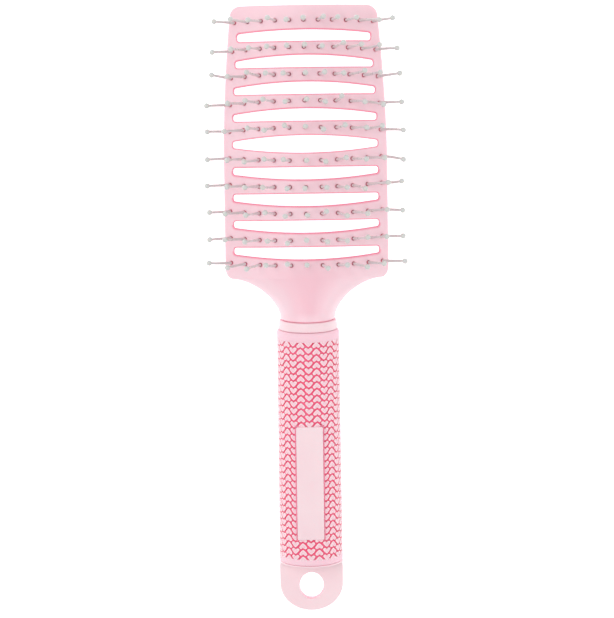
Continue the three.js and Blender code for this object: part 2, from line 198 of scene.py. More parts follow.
class Shape:
    """Vertices and faces gathered from several closed surfaces."""

    def __init__(self):
        self.verts = []
        self.faces = []

    def loft(self, rings, tip=None):
        """Closes rings of points, first to last, with flat ends or with a point at the last."""
        start = len(self.verts)
        count = len(rings[0])
        for ring in rings:
            self.verts.extend(ring)
        for r in range(len(rings) - 1):
            for k in range(count):
                a = start + r * count + k
                b = start + r * count + (k + 1) % count
                self.faces.append((a, b, b + count, a + count))
        last = start + (len(rings) - 1) * count
        self.faces.append(tuple(range(start + count - 1, start - 1, -1)))
        if tip is None:
            self.faces.append(tuple(range(last, last + count)))
        else:
            self.verts.append(tip)
            end = len(self.verts) - 1
            self.faces.extend((last + k, last + (k + 1) % count, end) for k in range(count))

    def object(self, name):
        return new_object(name, self.verts, self.faces)


def closed_loop(sections):
    """A surface through closed outlines that go round in a circle, the last joined to the first."""
    shape = Shape()
    turns, count = len(sections), len(sections[0])
    for section_points in sections:
        shape.verts.extend(section_points)
    for s in range(turns):
        here, there = s * count, (s + 1) % turns * count
        for k in range(count):
            after = (k + 1) % count
            shape.faces.append((here + k, here + after, there + after, there + k))
    return shape


def revolve(profile):
    """A ring-shaped or solid surface from a closed profile of (radius, y) round the Y axis."""
    sections = []
    for s in range(ROUND_SEGMENTS):
        a = 2 * math.pi * s / ROUND_SEGMENTS
        sections.append([(r * math.sin(a), y, r * math.cos(a)) for r, y in profile])
    return closed_loop(sections)


def outward(obj):
    """Merges the doubled points of a closed mesh and makes its faces point out."""
    bm = bmesh.new()
    bm.from_mesh(obj.data)
    bmesh.ops.remove_doubles(bm, verts=bm.verts, dist=1e-5)
    bmesh.ops.recalc_face_normals(bm, faces=bm.faces)
    bm.to_mesh(obj.data)
    bm.free()
    return obj


def bake_modifiers(obj):
    """Swaps an object's mesh for what its modifiers make of it."""
    graph = bpy.context.evaluated_depsgraph_get()
    mesh = bpy.data.meshes.new_from_object(obj.evaluated_get(graph))
    obj.modifiers.clear()
    old = obj.data
    obj.data = mesh
    bpy.data.meshes.remove(old)


def cut(obj, *cutters):
    """Takes the cutters out of a solid, one after another, and removes them."""
    for cutter in cutters:
        mod = obj.modifiers.new("cut", "BOOLEAN")
        mod.operation = "DIFFERENCE"
        mod.solver = "EXACT"
        mod.object = cutter
        bake_modifiers(obj)
        bpy.data.objects.remove(cutter)


def soften(obj, voxel, rounds):
    """Remeshes a solid evenly and smooths it, which rounds its edges as moulding does."""
    mod = obj.modifiers.new("remesh", "REMESH")
    mod.mode = "VOXEL"
    mod.voxel_size = voxel
    mod.adaptivity = 0
    mod = obj.modifiers.new("smooth", "SMOOTH")
    mod.factor = 0.5
    mod.iterations = rounds
    bake_modifiers(obj)


def coordinates(obj):
    out = np.empty(len(obj.data.vertices) * 3)
    obj.data.vertices.foreach_get("co", out)
    return out.reshape(-1, 3)


def set_attribute(obj, name, values):
    attribute = obj.data.attributes.new(name, "FLOAT", "POINT")
    attribute.data.foreach_set("value", np.asarray(values, dtype=np.float32))


def finish_piece(obj, place, material, slot, *nodes):
    obj.data.transform(place)
    obj.data.update()
    obj.data.shade_smooth()
    obj.data.materials.clear()
    obj.data.materials.append(material)
    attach(obj, "root")
    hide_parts(*nodes)
    return obj


# ---- Materials -----------------------------------------------------------------------------------


class Nodes:
    """A Principled material and short ways to add the nodes that drive it."""

    def __init__(self, name):
        self.material = bpy.data.materials.new(name)
        self.material.use_nodes = True
        self.tree = self.material.node_tree
        self.shader = self.tree.nodes["Principled BSDF"]
        coords = self.tree.nodes.new("ShaderNodeTexCoord")
        self.coords = coords.outputs["Object"]

    def link(self, output, node_input):
        self.tree.links.new(output, node_input)

    def noise(self, scale, detail=3.0):
        node = self.tree.nodes.new("ShaderNodeTexNoise")
        node.inputs["Scale"].default_value = scale
        node.inputs["Detail"].default_value = detail
        node.inputs["Roughness"].default_value = 0.55
        self.link(self.coords, node.inputs["Vector"])
        return node.outputs["Fac"]

    def attribute(self, name):
        node = self.tree.nodes.new("ShaderNodeAttribute")
        node.attribute_name = name
        return node.outputs["Fac"]

    def cloud(self, factor, low, high):
        """A colour that drifts between two tones with a noise."""
        node = self.tree.nodes.new("ShaderNodeValToRGB")
        for element, place, color in zip(node.color_ramp.elements, (0.3, 0.7), (low, high)):
            element.position = place
            element.color = (*color, 1)
        self.link(factor, node.inputs["Fac"])
        return node.outputs["Color"]

    def mix(self, factor, a, b):
        """Colour a going over to colour b as the factor rises. Each is a colour or a node's output."""
        node = self.tree.nodes.new("ShaderNodeMix")
        node.data_type = "RGBA"
        node.blend_type = "MIX"
        self.link(factor, node.inputs[0])
        for value, socket in ((a, node.inputs[6]), (b, node.inputs[7])):
            if isinstance(value, tuple):
                socket.default_value = (*value, 1)
            else:
                self.link(value, socket)
        return node.outputs[2]

    def bump(self, height, strength, distance):
        node = self.tree.nodes.new("ShaderNodeBump")
        node.inputs["Strength"].default_value = strength
        node.inputs["Distance"].default_value = distance
        self.link(height, node.inputs["Height"])
        self.link(node.outputs["Normal"], self.shader.inputs["Normal"])

    def rough(self, low, high, scale):
        """A roughness that a noise moves between two values."""
        node = self.tree.nodes.new("ShaderNodeMath")
        node.operation = "MULTIPLY_ADD"
        self.link(self.noise(scale, 4.0), node.inputs[0])
        node.inputs[1].default_value = high - low
        node.inputs[2].default_value = low
        self.link(node.outputs[0], self.shader.inputs["Roughness"])

    def set(self, **values):
        """Sets inputs of the shader, written with underscores for spaces."""
        for name, value in values.items():
            self.shader.inputs[name.replace("_", " ")].default_value = value


# Colours that several materials or steps name. The rest stand where they are used.
PALE = (0.965, 0.680, 0.748)
PALE_LOW = (0.950, 0.630, 0.702)
# Painted shade: the deep pink that the head takes down its walls, along the vents' lips and at the
# neck's foot.
WALL_SHADE_PINK = (0.910, 0.200, 0.330)
DEEP = (0.920, 0.118, 0.245)
# Painted shade: the dark red down in the pin sockets.
SOCKET_SHADE_RED = (0.520, 0.010, 0.050)
# Painted shade: the deeper pink of the trim at its joints and in the hanging hole.
SEAM_SHADE_PINK = (0.960, 0.530, 0.620)


def head_material():
    """Moulded plastic, paler along its rims, with painted shade in deep pink down its walls and dark red
    in the pin sockets, painted shade down the neck's middle and a painted highlight along its sides.
    """
    m = Nodes("head_plastic")
    cloud = m.cloud(m.noise(34, 2.0), PALE_LOW, PALE)
    # Painted shade, pinker and darker, down the neck's middle.
    throat_shade = m.mix(m.attribute("throat_shade"), cloud, (0.920, 0.560, 0.640))
    # Painted highlight, paler, along the neck's sides.
    flank = m.mix(m.attribute("flank"), throat_shade, (0.955, 0.690, 0.755))
    rim = m.mix(m.attribute("rim"), flank, (0.965, 0.640, 0.715))
    # Painted shade, deep pink, down the walls, along the vents' lips and at the neck's foot.
    walls = m.mix(m.attribute("wall_shade"), rim, WALL_SHADE_PINK)
    # Painted shade, dark red, down in the pin sockets.
    socket = m.mix(m.attribute("socket"), walls, SOCKET_SHADE_RED)
    m.link(socket, m.shader.inputs["Base Color"])
    m.rough(0.30, 0.42, 260)
    m.bump(m.noise(900, 4.0), 0.12, 0.0002)
    m.set(Subsurface_Weight=0.12, Subsurface_Scale=0.002, Subsurface_Radius=(1.0, 0.45, 0.5))
    m.set(Coat_Weight=0.12, Coat_Roughness=0.25, IOR=1.49, Specular_IOR_Level=0.45)
    return m.material


def trim_material():
    """The paler plastic of the collar, badge plate and end cap, with painted shade in deeper pink at the
    seams and in the hole.
    """
    m = Nodes("trim_plastic")
    cloud = m.cloud(m.noise(48, 2.0), (0.925, 0.690, 0.735), (0.950, 0.740, 0.775))
    # The seam attribute carries painted shade, deeper pink where the parts meet and down the hole's
    # wall.
    m.link(m.mix(m.attribute("seam"), cloud, SEAM_SHADE_PINK), m.shader.inputs["Base Color"])
    m.rough(0.34, 0.46, 300)
    m.bump(m.noise(1100, 4.0), 0.10, 0.0002)
    m.set(Subsurface_Weight=0.1, Subsurface_Scale=0.002, Subsurface_Radius=(1.0, 0.5, 0.55))
    m.set(IOR=1.49, Specular_IOR_Level=0.45)
    return m.material


def core_material():
    """The hidden inner tube's plastic."""
    m = Nodes("core_plastic")
    cloud = m.cloud(m.noise(60, 3.0), (0.82, 0.47, 0.55), (0.88, 0.55, 0.62))
    m.link(cloud, m.shader.inputs["Base Color"])
    m.rough(0.45, 0.6, 200)
    return m.material


def rubber_material():
    """The grip's soft-touch rubber: hot pink between the hearts, pale on the plain bands."""
    m = Nodes("grip_rubber")
    pale = m.cloud(m.noise(70, 3.0), (0.940, 0.600, 0.690), (0.965, 0.650, 0.730))
    groove = m.cloud(m.noise(90, 3.0), DEEP, (0.930, 0.170, 0.320))
    m.link(m.mix(m.attribute("groove"), pale, groove), m.shader.inputs["Base Color"])
    m.rough(0.55, 0.72, 320)
    m.bump(m.noise(1500, 5.0), 0.25, 0.0002)
    m.set(Subsurface_Weight=0.1, Subsurface_Scale=0.0015, Subsurface_Radius=(1.0, 0.3, 0.4), IOR=1.45)
    m.set(Sheen_Weight=0.08, Sheen_Roughness=0.5)
    return m.material


def heart_material():
    """The hearts: pale faces, running to hot pink down their sides, with a painted highlight on the
    bevel and painted shade in the dimple.
    """
    m = Nodes("heart_rubber")
    face = m.cloud(m.noise(120, 3.0), (0.915, 0.655, 0.710), (0.945, 0.705, 0.755))
    # Painted highlight, paler, on the hearts' bevels.
    bevel = m.mix(m.attribute("bevel"), face, (0.975, 0.800, 0.835))
    # Painted shade, pinker, in the hearts' dished middles.
    dimple = m.mix(m.attribute("dimple"), bevel, (0.905, 0.560, 0.640))
    m.link(m.mix(m.attribute("groove"), dimple, DEEP), m.shader.inputs["Base Color"])
    m.rough(0.5, 0.68, 340)
    m.bump(m.noise(1700, 5.0), 0.25, 0.0002)
    m.set(Subsurface_Weight=0.08, Subsurface_Scale=0.001, Subsurface_Radius=(1.0, 0.35, 0.45), IOR=1.45)
    return m.material


def nylon_material():
    """Milky nylon with cooler balls, and a painted red at the roots for the reflected pink light and
    shade down in the sockets.
    """
    m = Nodes("pin_nylon")
    cloud = m.cloud(m.noise(160, 3.0), (0.60, 0.575, 0.575), (0.70, 0.675, 0.675))
    ball = m.mix(m.attribute("ball"), cloud, (0.64, 0.65, 0.63))
    # Painted reflection and shade: red on the roots, down in the sockets.
    root = m.mix(m.attribute("root"), ball, (0.80, 0.10, 0.20))
    m.link(root, m.shader.inputs["Base Color"])
    m.rough(0.22, 0.36, 500)
    m.bump(m.noise(2200, 3.0), 0.1, 0.0001)
    m.set(Subsurface_Weight=0.1, Subsurface_Scale=0.001, IOR=1.53)
    return m.material


HEAD_PLASTIC = head_material()
TRIM = trim_material()
CORE = core_material()
RUBBER = rubber_material()
HEART = heart_material()
NYLON = nylon_material()

# ---- Head ----------------------------------------------------------------------------------------
# Worked out in the head's own frame: y along the head from the neck's foot, z out through the pins.


def half_width(along):
    """Half the head's width, beyond the lower corners and before the top ones."""
    if along <= TAPER_START:
        return HEAD_HALF
    share = (along - TAPER_START) / (HEAD_LENGTH - TOP_CORNER - TAPER_START)
    return lerp(HEAD_HALF, HEAD_TOP_HALF, share**TAPER_POWER)


def outline(flare_steps, corner_steps, side_steps):
    """Stations (along, half width): the flare, the lower corner, the side and the top corner."""
    curl = 2 / FLARE_POWER
    stations = []
    for i in range(flare_steps + 1):
        a = i / flare_steps * math.pi / 2
        along = FLARE_LENGTH * math.sin(a) ** curl
        half = FLARE_HALF - (FLARE_HALF - NECK_RADIUS) * max(0.0, math.cos(a)) ** curl
        stations.append((along, half))
    for i in range(1, corner_steps + 1):
        a = i / corner_steps * math.pi / 2
        along = FLARE_LENGTH + LOWER_CORNER * (1 - math.cos(a))
        stations.append((along, lerp(FLARE_HALF, HEAD_HALF, math.sin(a))))
    start, end = FLARE_LENGTH + LOWER_CORNER, HEAD_LENGTH - TOP_CORNER
    for i in range(1, side_steps + 1):
        along = lerp(start, end, i / side_steps)
        stations.append((along, half_width(along)))
    for i in range(1, corner_steps + 1):
        a = i / corner_steps * math.pi / 2
        half = HEAD_TOP_HALF - TOP_CORNER * (1 - math.cos(a))
        stations.append((end + TOP_CORNER * math.sin(a), half))
    return stations


STATIONS = outline(34, 12, 60)


def section(along, half):
    """A cross-section: round at the neck's foot, a curved strip from NECK_BLEND onwards."""
    steps, tuck_depth, tuck_angle, rim_width = 44, 0.5, 0.004, 1.0
    edge = math.asin(half / (HEAD_RADIUS - tuck_depth)) + tuck_angle
    flank = edge - rim_width / HEAD_RADIUS
    round_flank = math.radians(80)
    strip, round_points = [], []

    def add(radius, angle, turn):
        strip.append((radius * math.sin(angle), CROWN - HEAD_RADIUS + radius * math.cos(angle)))
        round_points.append((half * math.sin(turn), NECK_RADIUS * math.cos(turn)))

    def rim(side):
        depths = (tuck_depth, HEAD_THICKNESS / 2, HEAD_THICKNESS - tuck_depth)
        for i in (0, 1, 2) if side > 0 else (2, 1, 0):
            angle = side * (edge - (0 if i == 1 else tuck_angle))
            add(HEAD_RADIUS - depths[i], angle, side * math.radians(85 + 5 * i))

    fractions = [-1 + 2 * k / steps for k in range(steps + 1)]
    for f in fractions:
        add(HEAD_RADIUS, f * flank, f * round_flank)
    rim(1)
    for f in reversed(fractions):
        add(HEAD_RADIUS - HEAD_THICKNESS, f * flank, math.pi - f * round_flank)
    rim(-1)
    blend = smoothstep(along, 0, NECK_BLEND)
    pairs = zip(round_points, strip)
    return [(lerp(p[0], q[0], blend), lerp(p[1], q[1], blend)) for p, q in pairs]


def head_blank():
    """The head and neck before anything is cut. The neck's foot leans back, square to the handle."""
    rings = []
    for along, half in STATIONS:
        lean = HEAD_SLOPE * (1 - smoothstep(along, 0, NECK_BLEND))
        points = section(along, half)
        rings.append([(x, along - z * math.sin(lean), z * math.cos(lean)) for x, z in points])
    shape = Shape()
    shape.loft(rings)
    return outward(shape.object("head_grille"))


def vent_place(vent):
    """Where a vent's middle stands along the head. Vent 0 is the one nearest the far end."""
    return MIDDLE_VENT + (MIDDLE_INDEX - vent) * VENT_PITCH


def vent_outline(vent):
    """A vent in plan, bowed on the side away from the head's middle and rounded at its corners."""
    y = vent_place(vent)
    x = half_width(y) - RAIL
    h = TOP_VENT_END_HALF if vent == 0 else VENT_END_HALF
    corner = h * VENT_CORNER
    bow = TOP_VENT_BOW if vent == 0 else VENT_BOW
    up = bow if vent <= MIDDLE_INDEX else 0
    down = bow if vent >= MIDDLE_INDEX else 0
    corner_steps, side_steps = 6, 24
    points = [(-x, y - h + corner)]
    points += bezier(points[-1], (-x, y - h), (-x + corner, y - h), corner_steps)
    points += bezier(points[-1], (0, y - h - 2 * down), (x - corner, y - h), side_steps)
    points += bezier(points[-1], (x, y - h), (x, y - h + corner), corner_steps)
    points.append((x, y + h - corner))
    points += bezier(points[-1], (x, y + h), (x - corner, y + h), corner_steps)
    points += bezier(points[-1], (0, y + h + 2 * up), (-x + corner, y + h), side_steps)
    points += bezier(points[-1], (-x, y + h), (-x, y + h - corner), corner_steps)
    return points


def vent_cutters():
    beyond = 60
    shape = Shape()
    for vent in range(VENT_COUNT):
        flat = vent_outline(vent)
        shape.loft([[(x, y, z) for x, y in flat] for z in (-beyond, beyond)])
    return outward(shape.object("vents"))


def row_of(row):
    """Where a row stands along the head, the angles of its pins, and how it bows."""
    if row == 0:
        along = vent_place(0) + FIRST_ROW_RISE
    elif row == VENT_COUNT:
        along = vent_place(row - 1) - LAST_ROW_DROP
    else:
        along = (vent_place(row - 1) + vent_place(row)) / 2
    bow = (1 if row < VENT_COUNT / 2 else -1) * ROW_BOW * (0.5 if row == 0 else 1)
    half = (PINS - 1) / 2
    outermost = math.asin(PIN_REACH * half_width(along) / HEAD_RADIUS)
    angles = [outermost * (i - half) / half for i in range(PINS)]

    def along_at(angle):
        return along + bow * (1 - min(1.0, (angle / outermost) ** 2))

    return angles, outermost, along_at


ROWS = [row_of(row) for row in range(VENT_COUNT + 1)]


def on_head(angle, radius, along):
    """The point at an angle round the head's arc, a radius from its axis."""
    return Vector((radius * math.sin(angle), along, CROWN - HEAD_RADIUS + radius * math.cos(angle)))


def row_bar(shape, row, half, inner, outer, overhang, steps, chamfer=0.0):
    """A bar that follows a row round the head between two radii."""
    _, outermost, along_at = row
    reach = outermost + overhang / HEAD_RADIUS
    corners = [(inner, -half), (inner, half), (outer, half), (outer, -half)]
    if chamfer:
        corners = [
            (inner + chamfer, -half), (inner, -half + chamfer),
            (inner, half - chamfer), (inner + chamfer, half),
            (outer - chamfer, half), (outer, half - chamfer),
            (outer, -half + chamfer), (outer - chamfer, -half),
        ]
    rings = []
    for i in range(steps + 1):
        angle = lerp(-reach, reach, i / steps)
        rings.append([on_head(angle, radius, along_at(angle) + side) for radius, side in corners])
    shape.loft(rings)


def groove_cutters():
    """What is cut from the back of the ribs for the strips that join the pins."""
    shape = Shape()
    inner, outer = STRIP_INNER - 2.5, STRIP_OUTER + GAP
    for row in ROWS:
        row_bar(shape, row, STRIP_HALF + GAP, inner, outer, RECESS_RADIUS + GAP, 24)
    return outward(shape.object("grooves"))


def pin_frame(angle, along):
    """A pin's foot on the head's face, and the directions out of the face, round it and along it."""
    foot = on_head(angle, HEAD_RADIUS, along)
    out = Vector((math.sin(angle), 0, math.cos(angle)))
    side = Vector((math.cos(angle), 0, -math.sin(angle)))
    return foot, out, side, Vector((0, 1, 0))


def ring_across(centre, side, up, radius, sides):
    """A circle of points round a centre, in the plane of two directions."""
    turns = [2 * math.pi * k / sides for k in range(sides)]
    return [centre + (side * math.cos(a) + up * math.sin(a)) * radius for a in turns]


def recess_cutters():
    """What is cut for the sockets that the pins stand in."""
    shape = Shape()
    for angles, _, along_at in ROWS:
        for angle in angles:
            foot, out, side, up = pin_frame(angle, along_at(angle))
            ends = [foot + out * height for height in (-2.6, 1.5)]
            shape.loft([ring_across(end, side, up, RECESS_RADIUS, RECESS_SIDES) for end in ends])
    return outward(shape.object("recesses"))


def vent_lip_shade(x, y):
    """How much painted shade each point takes by a vent's edge in plan: 1 at the edge, 0 beyond the lip.
    """
    lips = np.zeros(len(x))
    for vent in range(VENT_COUNT):
        flat = np.array(vent_outline(vent))
        near = np.abs(y - vent_place(vent)) < VENT_PITCH / 2
        px, py = x[near], y[near]
        distance = np.full(len(px), VENT_PITCH)
        for a, b in zip(flat, np.roll(flat, -1, axis=0)):
            along = b - a
            length = max(1e-9, float(along @ along))
            t = np.clip(((px - a[0]) * along[0] + (py - a[1]) * along[1]) / length, 0, 1)
            away = np.hypot(px - a[0] - t * along[0], py - a[1] - t * along[1])
            distance = np.minimum(distance, away)
        # The painted shade along the bowed edge, away from the head's middle, is broader, most of all in
        # the lower vents.
        bowed = (py - vent_place(vent)) * (MIDDLE_INDEX - vent) > 0
        breadth = np.where(bowed, 0.95 if vent > MIDDLE_INDEX else 0.62, 0.45)
        lips[near] = ramp_down(distance, 0.1, 0.1 + breadth)
    return lips


def socket_depths(co):
    """How deep each point lies in a pin's socket: 0 at the face, 1 from a millimetre down."""
    sockets = np.zeros(len(co))
    for angles, _, along_at in ROWS:
        for angle in angles:
            foot, out, _, _ = pin_frame(angle, along_at(angle))
            near = np.abs(co[:, 1] - foot.y) < 2
            offset = co[near] - np.array(foot)
            height = offset @ np.array(out)
            away = np.linalg.norm(offset - np.outer(height, np.array(out)), axis=1)
            inside = (away < RECESS_RADIUS + 0.3) & (height > -3)
            sockets[near] = np.maximum(sockets[near], ramp_up(-height, 0.25, 0.95) * inside)
    return sockets


def wall_shade_shares(x, y, z, edge):
    """How much painted shade each point takes, as deep pink: down the walls, along the vents' lips and
    at the neck's foot.
    """
    depth = HEAD_RADIUS - np.hypot(x, z - (CROWN - HEAD_RADIUS))
    on_strip = ramp_up(y, NECK_BLEND * 0.75, NECK_BLEND * 0.75 + 4)
    back = HEAD_THICKNESS
    between_faces = ramp_up(depth, 0.35, 1.15) * ramp_down(depth, back - 0.8, back - 0.2)
    # The outer rim's own wall takes less painted shade than the walls inside the vents.
    inboard = ramp_up(edge, 0.8, 2.0) * ramp_down(y, HEAD_LENGTH - 3.0, HEAD_LENGTH - 1.5)
    walls = between_faces * on_strip * (0.3 + 0.7 * inboard)
    # Painted shade, deep pink, at the neck's foot where it meets the collar.
    foot_rise = y * math.cos(HEAD_SLOPE) + z * math.sin(HEAD_SLOPE)
    foot = 0.65 * ramp_down(foot_rise, 0.2, 0.5) * (foot_rise > -0.5)
    return np.maximum(np.maximum(walls, vent_lip_shade(x, y)), foot)


def head():
    obj = head_blank()
    cut(obj, vent_cutters(), recess_cutters(), groove_cutters())
    soften(obj, HEAD_VOXEL, 3)
    co = coordinates(obj)
    x, y, z = co.T
    places = np.linspace(0, HEAD_LENGTH, 400)
    edge = np.interp(y, places, [half_width(place) for place in places]) - np.abs(x)
    reach = np.interp(y, [along for along, _ in STATIONS], [half for _, half in STATIONS])
    share = np.abs(x) / reach
    on_neck = ramp_up(y, 0, 3) * ramp_down(y, NECK_BLEND - 10, NECK_BLEND)
    # Painted shade, deep pink, down the walls, along the vents' lips and at the neck's foot.
    set_attribute(obj, "wall_shade", wall_shade_shares(x, y, z, edge))
    set_attribute(obj, "rim", ramp_down(edge, 0.4, 2.6) * ramp_up(y, 15, 21))
    # Painted shade, dark red, down in the pin sockets.
    set_attribute(obj, "socket", socket_depths(co))
    # Painted highlight, paler, along the neck's sides.
    set_attribute(obj, "flank", ramp_up(share, 0.48, 0.88) * on_neck)
    # Painted shade, pinker and darker, down the neck's middle.
    set_attribute(obj, "throat_shade", ramp_down(share, 0.15, 0.65) * on_neck)
    return finish_piece(obj, HEAD_PLACE, HEAD_PLASTIC, "head", "head_frame")


# ---- Pins ----------------------------------------------------------------------------------------


def pin_profile():
    """(radius, height, ball share) from the root to just under the ball's tip."""
    thick, thin, sunk, taper_start = 0.60, 0.49, 0.3, 0.8
    root = HEAD_RADIUS - STRIP_OUTER + sunk
    neck = PIN_LENGTH - BALL_RADIUS * 0.9
    points = [(thick, -root, 0), (0.62, -0.9, 0), (0.62, -0.2, 0), (thick, taper_start, 0)]
    for i in range(1, 9):
        t = i / 8
        points.append((lerp(thick, thin, t), lerp(taper_start, neck - 0.5, t), 0))
    points.append((thin, neck - 0.1, 0.3))
    for i in range(7):
        a = math.radians(lerp(-62, 72, i / 6))
        points.append((BALL_RADIUS * math.cos(a), PIN_LENGTH + BALL_RADIUS * math.sin(a), 1))
    return points


PIN_PROFILE = pin_profile()


def pin_row(index):
    """A row of pins, each leaning and bending a little its own way, on the strip that joins them."""
    row = ROWS[index]
    angles, _, along_at = row
    shape = Shape()
    row_bar(shape, row, STRIP_HALF, STRIP_INNER, STRIP_OUTER, RECESS_RADIUS, 40, 0.25)
    ball = [0.0] * len(shape.verts)
    # The root share marks where the painted red of the sockets' reflected light and shade goes.
    root = [0.0] * len(shape.verts)
    for angle in angles:
        foot, out, side, up = pin_frame(angle, along_at(angle))
        lean = side * rng.gauss(0, 0.018) + up * rng.gauss(0, 0.022)
        bend = side * rng.gauss(0, 0.38) + up * rng.gauss(0, 0.42)
        rings = []
        for radius, height, share in PIN_PROFILE:
            rise = max(0.0, height)
            centre = foot + out * height + lean * rise + bend * (rise / PIN_LENGTH) ** 2
            rings.append(ring_across(centre, side, up, radius, PIN_SIDES))
            ball += [share] * PIN_SIDES
            root += [1.0 if height < 0 else 0.0] * PIN_SIDES
        tip = foot + out * (PIN_LENGTH + BALL_RADIUS) + lean * PIN_LENGTH + bend * 1.05
        shape.loft(rings, tip)
        ball.append(1.0)
        root.append(0.0)
    obj = shape.object(f"pins_row_{index + 1:02d}")
    set_attribute(obj, "ball", ball)
    set_attribute(obj, "root", root)
    return finish_piece(obj, HEAD_PLACE, NYLON, "pins", f"pin_strip_{index + 1:02d}")


# ---- Grip ----------------------------------------------------------------------------------------
# From here on in the handle's own frame: y along its axis from the tip of the tab, z up.

SLEEVE_START = CAP_LENGTH + JOINT_GAP
TOP_BAND = 3.8
TAIL_BAND = 2.5
# The sleeve's plain bands end here, and the hearts stand between.
FIELD = (SLEEVE_START + TAIL_BAND, SLEEVE_END - TOP_BAND)
HEART_COLUMNS = 24
HEART_PITCH = 2.78
HEART_STAGGER = 0.77
HEART_SIZE = (3.48, 2.50)
# How far a heart's top, and the middle of its dimple, stand above the floor between the hearts.
HEART_RISE = 0.75
HEART_TIP = 0.71


def sleeve_radius(y):
    share = (y - SLEEVE_START) / (SLEEVE_END - SLEEVE_START)
    return lerp(SLEEVE_TAIL_RADIUS, SLEEVE_TOP_RADIUS, share)


def sleeve_profile():
    """(radius, y) round the sleeve's wall: a band at each end and the hearts' lower floor between."""
    start, end = SLEEVE_START, SLEEVE_END
    low, high = FIELD
    tail, tip = sleeve_radius(start), sleeve_radius(end)
    below, above = sleeve_radius(low), sleeve_radius(high)
    profile = [(SLEEVE_BORE, start), (tail - 0.35, start), (tail - 0.1, start + 0.1)]
    profile += [(tail, start + 0.4), (below, low - 0.25), (below - 0.2, low)]
    profile.append((below - HEART_RISE, low + 0.1))
    steps = 60
    for i in range(1, steps):
        y = lerp(low + 0.1, high - 0.1, i / steps)
        profile.append((sleeve_radius(y) - HEART_RISE, y))
    profile += [(above - HEART_RISE, high - 0.1), (above - 0.2, high), (above, high + 0.25)]
    profile += [(tip, end - 1.0), (tip - 0.15, end - 0.45), (tip - 0.5, end - 0.1)]
    return profile + [(tip - 0.9, end), (SLEEVE_BORE, end)]


def sleeve_base():
    obj = outward(revolve(sleeve_profile()).object("grip_sleeve_base"))
    seam = 0.1
    w, l = PLATE_WIDTH / 2 + seam, PLATE_LENGTH / 2 + seam
    flat = [(sx * w, PLATE_MIDDLE + sy * l) for sx, sy in ((-1, -1), (1, -1), (1, 1), (-1, 1))]
    window = Shape()
    window.loft([[(x, y, z) for x, y in flat] for z in (8, 16)])
    cut(obj, outward(window.object("window")))
    x, y, z = coordinates(obj).T
    sunk = np.array([sleeve_radius(place) for place in y]) - np.hypot(x, z)
    between = (y > FIELD[0] - 0.1) & (y < FIELD[1] + 0.1)
    set_attribute(obj, "groove", ramp_up(sunk, 0.25, 0.6) * between)
    return finish_piece(obj, HANDLE_PLACE, RUBBER, "grip", "grip_sleeve")


# From the notch round the right lobe to near the point, for a heart of unit width and height.
HALF_HEART = [
    (0, 0.76), (0.10, 0.88), (0.21, 0.98), (0.32, 1.0), (0.43, 0.94),
    (0.505, 0.80), (0.49, 0.65), (0.39, 0.46), (0.25, 0.26), (0.11, 0.08),
]


def heart_outline():
    """A squat heart round its middle, anticlockwise from its point."""
    middle = 0.55
    right = [(0, 0), *reversed(HALF_HEART)]
    left = [(-x, y) for x, y in HALF_HEART[1:]]
    return [(x * HEART_SIZE[0], (y - middle) * HEART_SIZE[1]) for x, y in right + left]


HEART_OUTLINE = heart_outline()
# Layers of a heart: outline scale, height, and how much each is groove, bevel and dimple; the bevel
# share is a painted highlight and the dimple share painted shade.
HEART_LAYERS = [
    (1.00, -0.12, 1, 0, 0),
    (0.985, 0.28, 0.55, 0, 0),
    (0.955, 0.56, 0.12, 0.8, 0),
    (0.90, 0.70, 0, 1, 0),
    (0.80, 0.75, 0, 0.7, 0),
    (0.62, 0.74, 0, 0, 0),
    (0.48, 0.68, 0, 0, 0.7),
    (0.36, 0.66, 0, 0, 1),
    (0.22, 0.70, 0, 0, 0.2),
]


def under_plate(turn, y):
    """Whether a heart there would be wholly hidden by the badge plate."""
    across = abs(math.remainder(turn, 2 * math.pi)) * SLEEVE_TOP_RADIUS
    return across < PLATE_WIDTH / 2 - 1.8 and abs(y - PLATE_MIDDLE) < PLATE_LENGTH / 2 - 1.3


def heart_ring(turn, y, flip, scale, height):
    """One layer's outline, wrapped round the sleeve."""
    ring = []
    for u, v in HEART_OUTLINE:
        place = y + v * scale * flip
        radius = sleeve_radius(place) - HEART_RISE + height
        angle = turn + u * scale * flip / sleeve_radius(y)
        ring.append((radius * math.sin(angle), place, radius * math.cos(angle)))
    return ring


def hearts():
    """All the hearts: columns that point towards the tab by turns with columns that point away."""
    shape = Shape()
    # The bevel marks carry a painted highlight and the dimple marks painted shade.
    marks = {"groove": [], "bevel": [], "dimple": []}
    low, high = FIELD
    first_rise, overhang = 0.9, 0.7
    rows = int((high - low) / HEART_PITCH) + 2
    for column in range(HEART_COLUMNS):
        turn = 2 * math.pi * column / HEART_COLUMNS
        upright = column % 2 == 0
        flip = 1 if upright else -1
        for row in range(rows):
            y = low + first_rise + row * HEART_PITCH - (0 if upright else HEART_STAGGER)
            if not low - overhang <= y <= high + overhang or under_plate(turn, y):
                continue
            rings = []
            for scale, height, *shares in HEART_LAYERS:
                rings.append(heart_ring(turn, y, flip, scale, height))
                for key, share in zip(marks, shares):
                    marks[key] += [share] * len(rings[-1])
            radius = sleeve_radius(y) - HEART_RISE + HEART_TIP
            shape.loft(rings, (radius * math.sin(turn), y, radius * math.cos(turn)))
            for key in marks:
                marks[key].append(0.0)
    obj = shape.object("grip_hearts")
    for key, values in marks.items():
        set_attribute(obj, key, values)
    return finish_piece(obj, HANDLE_PLACE, HEART, "grip", "grip_sleeve")


# ---- Badge plate, collar and end cap -------------------------------------------------------------


